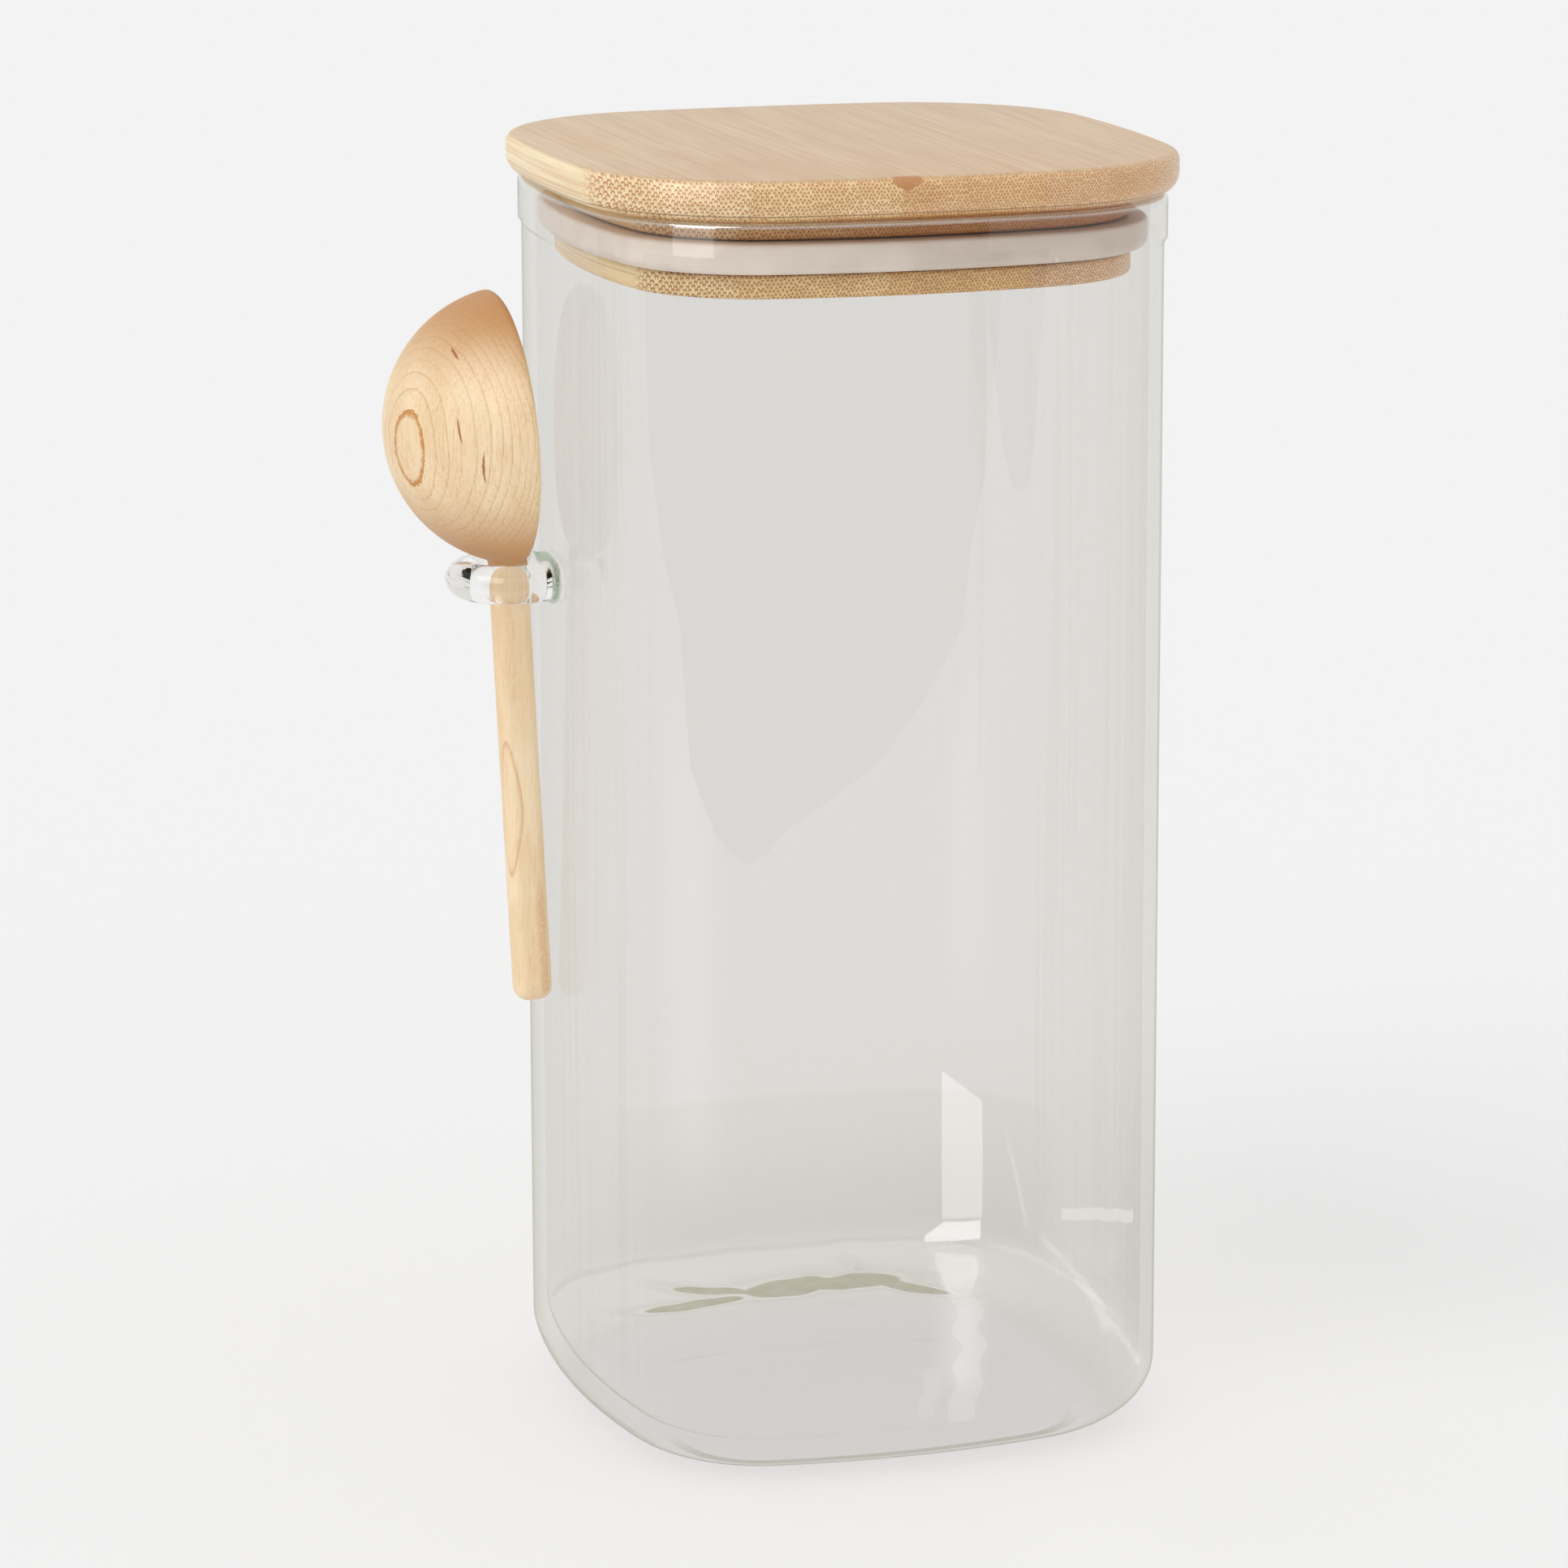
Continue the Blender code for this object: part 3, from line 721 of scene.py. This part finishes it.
def makeSeal():
    piece = bowedBlock("sealRing", jarPlan, seal["inset"], seal["bottom"], seal["top"])
    pick('EDGE', sharpAt(seal["top"]))
    bevelPicked(seal["upperRound"], seal["upperSteps"])
    pick('EDGE', sharpAt(seal["bottom"]))
    bevelPicked(seal["lowerRound"], seal["lowerSteps"])
    for level, up, roundWidth in (
            (seal["top"], 1, seal["upperRound"]), (seal["bottom"], -1, seal["lowerRound"])):
        pick('FACE', facing(level, up))
        bpy.ops.mesh.inset(thickness=seal["width"] - roundWidth, use_even_offset=True)
        bpy.ops.mesh.delete(type='FACE')
    pick('EDGE', lambda e: e.is_boundary)
    bpy.ops.mesh.bridge_edge_loops()
    allOutwards()
    leave()
    return piece


def sealFinish():
    material, wire, skin = newFinish("softSeal")
    place = inMillimetres(wire)
    across = split(place)[0]
    cloud = noise(place, 0.12)
    grit = noise(place, 3.5)
    shade = fade(cloud, 0.3, 0.7) * 0.3 + fade(across, *sealLook["shadeFrom"]) * 0.7
    feed(wire.tree, skin, {
        "Base Color": blend(shade, sealLook["milk"], sealLook["shade"]),
        "Roughness": sealLook["roughness"] + grit * 0.08,
        "Specular IOR Level": 0.4,
        "Normal": bump(grit, 0.15, 0.00005),
    })
    return material


sealRing = makeSeal()
finishPiece(sealRing, sealFinish(), "lid", "soft_seal", "seal_ring")
print("seal moulded:", len(sealRing.data.polygons), "faces")


scoop = {
    "lean": math.radians(2.6723), "rimLean": math.radians(3.6723),
    "bowlCentre": (-0.0545495, 0, 0.1713437), "bowlRadius": 0.0231, "wall": 0.0026, "cutBack": 0.0030,
    "bowlSteps": (96, 72), "rimRound": 0.0011, "rimSteps": 5,
    "handleSize": (0.0064, 0.0056), "handleFrom": -0.0722, "handleTo": 0.004789,
    "handleRound": 0.0022, "handleSteps": 6, "voxel": 0.00042, "smoothing": 6,
}
scoopLook = {
    "light": tone(247, 224, 187), "warm": tone(236, 204, 159), "line": tone(200, 138, 68),
    # end: the end grain's tone, which also serves as painted shade at the bowl's top and bottom
    "fleck": tone(158, 80, 20), "end": tone(186, 126, 62), "roughness": 0.46,
    "eyeTurn": math.atan2(0.332, 0.943),     # the ovals' middle, from -X towards -Y
    "ovalAt": -63.5,                         # the middle of the handle's ovals
    "handleGrain": (-22.5, -26.5),           # heights where the handle's layers take over
    "endGrain": (7, 21),                     # how far above or below the bowl's middle it comes in
    "endGrainFoot": (-26, -22),              # and how low it reaches
    # flecks: across, up, half width, half height, how far they lean
    "flecks": ((-6.1, 14.1, 0.4, 0.9, 1.5), (-11.3, 2.4, 0.2, 2.3, 0.27), (-14.6, -3.5, 0.18, 3.0, -0.11)),
}


def makeScoop():
    rimNormal = Vector((math.cos(scoop["rimLean"]), 0, math.sin(scoop["rimLean"])))
    centre = Vector(scoop["bowlCentre"])
    startClean()
    around, upwards = scoop["bowlSteps"]
    bpy.ops.mesh.primitive_uv_sphere_add(segments=around, ring_count=upwards, radius=scoop["bowlRadius"],
                                         location=centre, rotation=(0, quarterTurn - scoop["rimLean"], 0))
    piece = nameAdded("woodenScoop")
    edit()
    bpy.ops.mesh.select_all(action='SELECT')
    bpy.ops.mesh.bisect(plane_co=centre - rimNormal * scoop["cutBack"], plane_no=rimNormal,
                        use_fill=False, clear_outer=True)
    allOutwards()
    leave()
    applyModifier(piece, 'SOLIDIFY', thickness=scoop["wall"], offset=-1, use_even_offset=True)
    edit()
    pick('EDGE', lambda e: e.calc_face_angle(0) > sharpAngle)
    bevelPicked(scoop["rimRound"], scoop["rimSteps"])
    leave()
    axis = Vector((-math.sin(scoop["lean"]), 0, math.cos(scoop["lean"])))
    length = scoop["handleTo"] - scoop["handleFrom"]
    startClean()
    bpy.ops.mesh.primitive_cube_add(
        size=1, location=Vector(ring["centre"]) + axis * (scoop["handleTo"] + scoop["handleFrom"]) / 2,
        rotation=(0, -scoop["lean"], 0), scale=(*scoop["handleSize"], length))
    nameAdded("scoopHandle")
    edit()
    bpy.ops.mesh.select_all(action='SELECT')
    bevelPicked(scoop["handleRound"], scoop["handleSteps"])
    allOutwards()
    leave()
    joinTo(piece)
    applyModifier(piece, 'REMESH', mode='VOXEL', voxel_size=scoop["voxel"])
    applyModifier(piece, 'SMOOTH', factor=0.5, iterations=scoop["smoothing"])
    return piece


def bowlLayers(depth, across, up, wobble, jag):
    # layers as ovals on the bowl, tall near their middle and rounder towards the rim
    away = (across ** 2 + up ** 2) ** 0.5
    squeeze = fade(away, 7, 20) * 0.38 + 0.62
    bent = ((across + 0.6) ** 2 + ((up + fade(away, 20, 8) * 1.7) * squeeze) ** 2) ** 0.5
    angle = bent.math('ARCTAN2', depth * -1) * math.degrees(1) + wobble * 4.5
    steep = (angle - 40).math('MAXIMUM', 0)
    return (angle - 3.7) / 6.4 + steep * steep * 0.006 + jag * fade(angle, 21, 10) * 0.42, angle


def handleLayers(across, up, wobble):
    # layers as long, narrow ovals on the handle
    fromOval = (abs(up - scoopLook["ovalAt"]) / 7.5).math('MINIMUM', 1.75)
    return ((across + 0.6) ** 2 + fromOval ** 2) ** 0.5 / 1.6 + wobble * 0.5


def scoopFinish():
    # growth layers lie across one direction, so that they show as ovals round it on the bowl
    material, wire, skin = newFinish("paleWood")
    look = scoopLook
    depth, across, up = split(inMillimetres(wire, scoop["bowlCentre"], (0, 0, look["eyeTurn"])))
    wobble = noise(inMillimetres(wire, stretch=(9, 9, 16)), 1, 1) - 0.5
    jag = noise(inMillimetres(wire), 1) - 0.5
    fibres = noise(inMillimetres(wire, stretch=(0.30, 0.30, 5)), 1, 3, 0.6)
    pores = noise(inMillimetres(wire, stretch=(0.5, 0.5, 0.9)), 1, 2, 0.7)
    cloud = noise(inMillimetres(wire, stretch=(7, 7, 16)), 1)
    handle = fade(up, *look["handleGrain"])
    onBowl, angle = bowlLayers(depth, across, up, wobble, jag)
    layer = onBowl * (1 - handle) + handleLayers(across, up, wobble) * handle
    layer = layer.math('MAXIMUM', 0.02)
    number = layer.math('FLOOR')
    within = layer - number
    innermost = fade(number, 0.5, 0.1) * (1 - handle)
    line = between(within, 0.80, 0.95, 0.975, 1.0)
    early = fade(within, 0.2, 1.0)
    chance = wire.add('ShaderNodeTexWhiteNoise', {"noise_dimensions": '1D'}, {"W": number + 0.5})
    strength = (chance * 0.34 + 0.08 + fade(angle, 35, 60) * 0.14) * (1 - handle * 0.3)
    base = blend(fade(cloud, 0.32, 0.68) * 0.8, look["light"], look["warm"])
    base = blend(early * 0.20, base, look["warm"])
    base = blend(line * strength + fade(within, 0.58, 0.86) * innermost * 0.95, base, look["line"])
    base = blend(fade(fibres, 0.44, 0.74) * (0.36 - handle * 0.16), base, look["line"])
    base = blend(fade(pores, 0.48, 0.68) * 0.45, base, look["light"])
    # darker at the bowl's top and bottom: partly the end grain, where the grain is cut across, and partly
    # painted shade
    endGrain = fade(abs(up), *look["endGrain"]) * fade(up, *look["endGrainFoot"])
    base = blend(endGrain * 0.85, base, look["end"])
    spots = 0
    for aside, above, halfWidth, halfHeight, lean in look["flecks"]:
        aslant = across - aside - (up - above) * lean + jag * 0.3
        spot = ((aslant / halfWidth) ** 2 + ((up - above) / halfHeight) ** 2) ** 0.5
        spots = fade(spot, 1.15, 0.55) + spots
    base = blend(spots * fade(depth, 1, -1) * 0.85, base, look["fleck"])
    feed(wire.tree, skin, {
        "Base Color": base,
        "Roughness": look["roughness"] + fibres * 0.1,
        "Specular IOR Level": 0.4,
        "Normal": bump(fibres - line * 0.3, 0.25, 0.00006),
    })
    return material


woodenScoop = makeScoop()
finishPiece(woodenScoop, scoopFinish(), "scoop_body", "pale_wood", "scoop")
print("scoop carved:", len(woodenScoop.data.polygons), "faces")


studio = {
    "floorTone": 0.896, "floorSize": 30, "floorDrop": 0.0001,
    "worldLight": 0.80, "sunLight": 0.85, "sunSoftness": math.radians(40),
    "sunTurn": (math.radians(42), 0, math.radians(-62)),
    "cameraAt": (-0.31208, -0.98836, 0.3400),
    "cameraTurn": (math.radians(90 - 11.977), 0, math.radians(-17.736)),
    "sensor": 36, "lens": 144.13, "shift": (-0.0497, -0.0485), "clip": (0.05, 100),
    # what the outer glass mirrors: brightness, whether it fades to its sides, then upright edges
    # from left to right as x, y, lowest and highest
    "mirrored": {
        "sideStrip": (4.6, False, ((0.0380, -0.1496, 0.0131, 0.0405), (0.0548, -0.1448, 0.0127, 0.0345))),
        "stripFoot": (8.0, False, (
            (0.0300, -0.1507, 0.0092, 0.0100), (0.0385, -0.1489, 0.0090, 0.0127),
            (0.0540, -0.1444, 0.0089, 0.0123))),
        "footStrip": (3.0, True, ((0.0080, -0.0770, 0.0010, 0.0300), (0.0250, -0.0755, 0.0010, 0.0300))),
        "rightBand": (3.4, False, (
            (0.0896, -0.1305, 0.0102, 0.0124), (0.1075, -0.1156, 0.0098, 0.0122),
            (0.1241, -0.0949, 0.0094, 0.0117), (0.1389, -0.0596, 0.0083, 0.0107),
            (0.1422, -0.0215, 0.0068, 0.0092))),
        "leftBox": (3.8, False, ((-0.1450, -0.0720, 0.1936, 0.4200), (-0.1120, -0.1220, 0.1936, 0.4200))),
        "leftGlow": (1.9, True, (
            (-0.155, -0.020, 0.007, 0.136), (-0.153, -0.052, 0.007, 0.134), (-0.140, -0.091, 0.007, 0.125),
            (-0.121, -0.118, 0.007, 0.108), (-0.090, -0.140, 0.007, 0.084))),
        "middleGlow": (1.6, True, ((0.036, -0.156, 0.042, 0.106), (0.066, -0.149, 0.041, 0.141))),
        "darkDrape": (0.1, False, (
            (-0.152, -0.023, 0.170, 0.193), (-0.151, -0.028, 0.154, 0.193), (-0.149, -0.050, 0.136, 0.193),
            (-0.142, -0.076, 0.123, 0.193), (-0.135, -0.088, 0.098, 0.193), (-0.111, -0.120, 0.085, 0.193),
            (-0.076, -0.143, 0.080, 0.214), (-0.037, -0.154, 0.084, 0.214), (-0.009, -0.156, 0.092, 0.214),
            (0.012, -0.155, 0.099, 0.214), (0.030, -0.153, 0.109, 0.214), (0.046, -0.149, 0.122, 0.214),
            (0.050, -0.149, 0.135, 0.214), (0.057, -0.147, 0.150, 0.214))),
        "darkFold": (0.1, False, (
            (0.058, -0.148, 0.178, 0.193), (0.064, -0.144, 0.152, 0.193), (0.069, -0.143, 0.146, 0.193),
            (0.074, -0.141, 0.146, 0.193), (0.077, -0.140, 0.154, 0.193), (0.082, -0.138, 0.185, 0.193))),
    },
}


def makeMirrored(name, brightness, soft, edges):
    # stands round the jar, where only the rays that the outer glass mirrors find it
    startClean()
    bpy.ops.mesh.primitive_grid_add(x_subdivisions=len(edges) - 1, y_subdivisions=1, size=1)
    panel = nameAdded(name)
    corners = [(x, y, low) for x, y, low, high in edges] + [(x, y, high) for x, y, low, high in edges]
    for point, corner in zip(panel.data.vertices, corners):
        point.co = corner
    panel.visible_camera = panel.visible_diffuse = panel.visible_shadow = panel.visible_transmission = False
    material, wire = newFinish(name)[:2]
    glow = wire.add('ShaderNodeEmission', {}, {"Strength": brightness})
    if soft:
        aside, above = split(wire.add('ShaderNodeTexCoord', output='UV'))[:2]
        bell = between(aside, 0.0, 0.5, 0.5, 1.0) * between(above, 0.0, 0.25, 0.6, 1.0)
        plain = wire.add('ShaderNodeEmission', {}, {"Strength": studio["floorTone"]})
        glow = mixShaders(bell, plain, glow)
    passed = wire.add('ShaderNodeLightPath', output='Transparent Depth')
    showAs(wire, mixShaders(fade(passed, 0.4, 0.6), glow, wire.add('ShaderNodeBsdfTransparent')))
    panel.data.materials.append(material)


def layFloor():
    startClean()
    bpy.ops.mesh.primitive_grid_add(x_subdivisions=4, y_subdivisions=4, size=studio["floorSize"],
                                    location=(0, 0, -studio["floorDrop"]))
    ground = nameAdded("studioFloor")
    material, wire, skin = newFinish("studioFloor")
    feed(wire.tree, skin, {
        "Base Color": (*[studio["floorTone"]] * 3, 1), "Roughness": 0.9, "Specular IOR Level": 0.1})
    ground.data.materials.append(material)


def lightWorld():
    # seen and mirrored in the floor's tone, a little darker as a light
    world = bpy.data.worlds.new("studioWorld")
    world.use_nodes = True
    bpy.context.scene.world = world
    wire = Wire(world.node_tree)
    path = wire.add('ShaderNodeLightPath', output='Is Camera Ray')
    seen = path.math('MAXIMUM', path.beside('Is Glossy Ray'))
    seen = seen.math('MAXIMUM', path.beside('Is Transmission Ray'))
    asLight = studio["worldLight"] / studio["floorTone"]
    feed(wire.tree, wire.tree.nodes['Background'], {
        "Color": (*[studio["floorTone"]] * 3, 1), "Strength": seen * (1 - asLight) + asLight})


def hangSun():
    startClean()
    bpy.ops.object.light_add(type='SUN', rotation=studio["sunTurn"])
    sun = bpy.context.object
    sun.name = "softKey"
    sun.data.energy = studio["sunLight"]
    sun.data.angle = studio["sunSoftness"]


def placeCamera():
    bpy.ops.object.camera_add(location=studio["cameraAt"], rotation=studio["cameraTurn"])
    camera = bpy.context.object
    camera.data.sensor_width = studio["sensor"]
    camera.data.lens = studio["lens"]
    camera.data.shift_x, camera.data.shift_y = studio["shift"]
    camera.data.clip_start, camera.data.clip_end = studio["clip"]
    bpy.context.scene.camera = camera
    bpy.context.scene.view_settings.view_transform = 'Standard'


layFloor()
for name, (brightness, soft, edges) in studio["mirrored"].items():
    makeMirrored(name, brightness, soft, edges)
lightWorld()
hangSun()
placeCamera()
print("studio set")
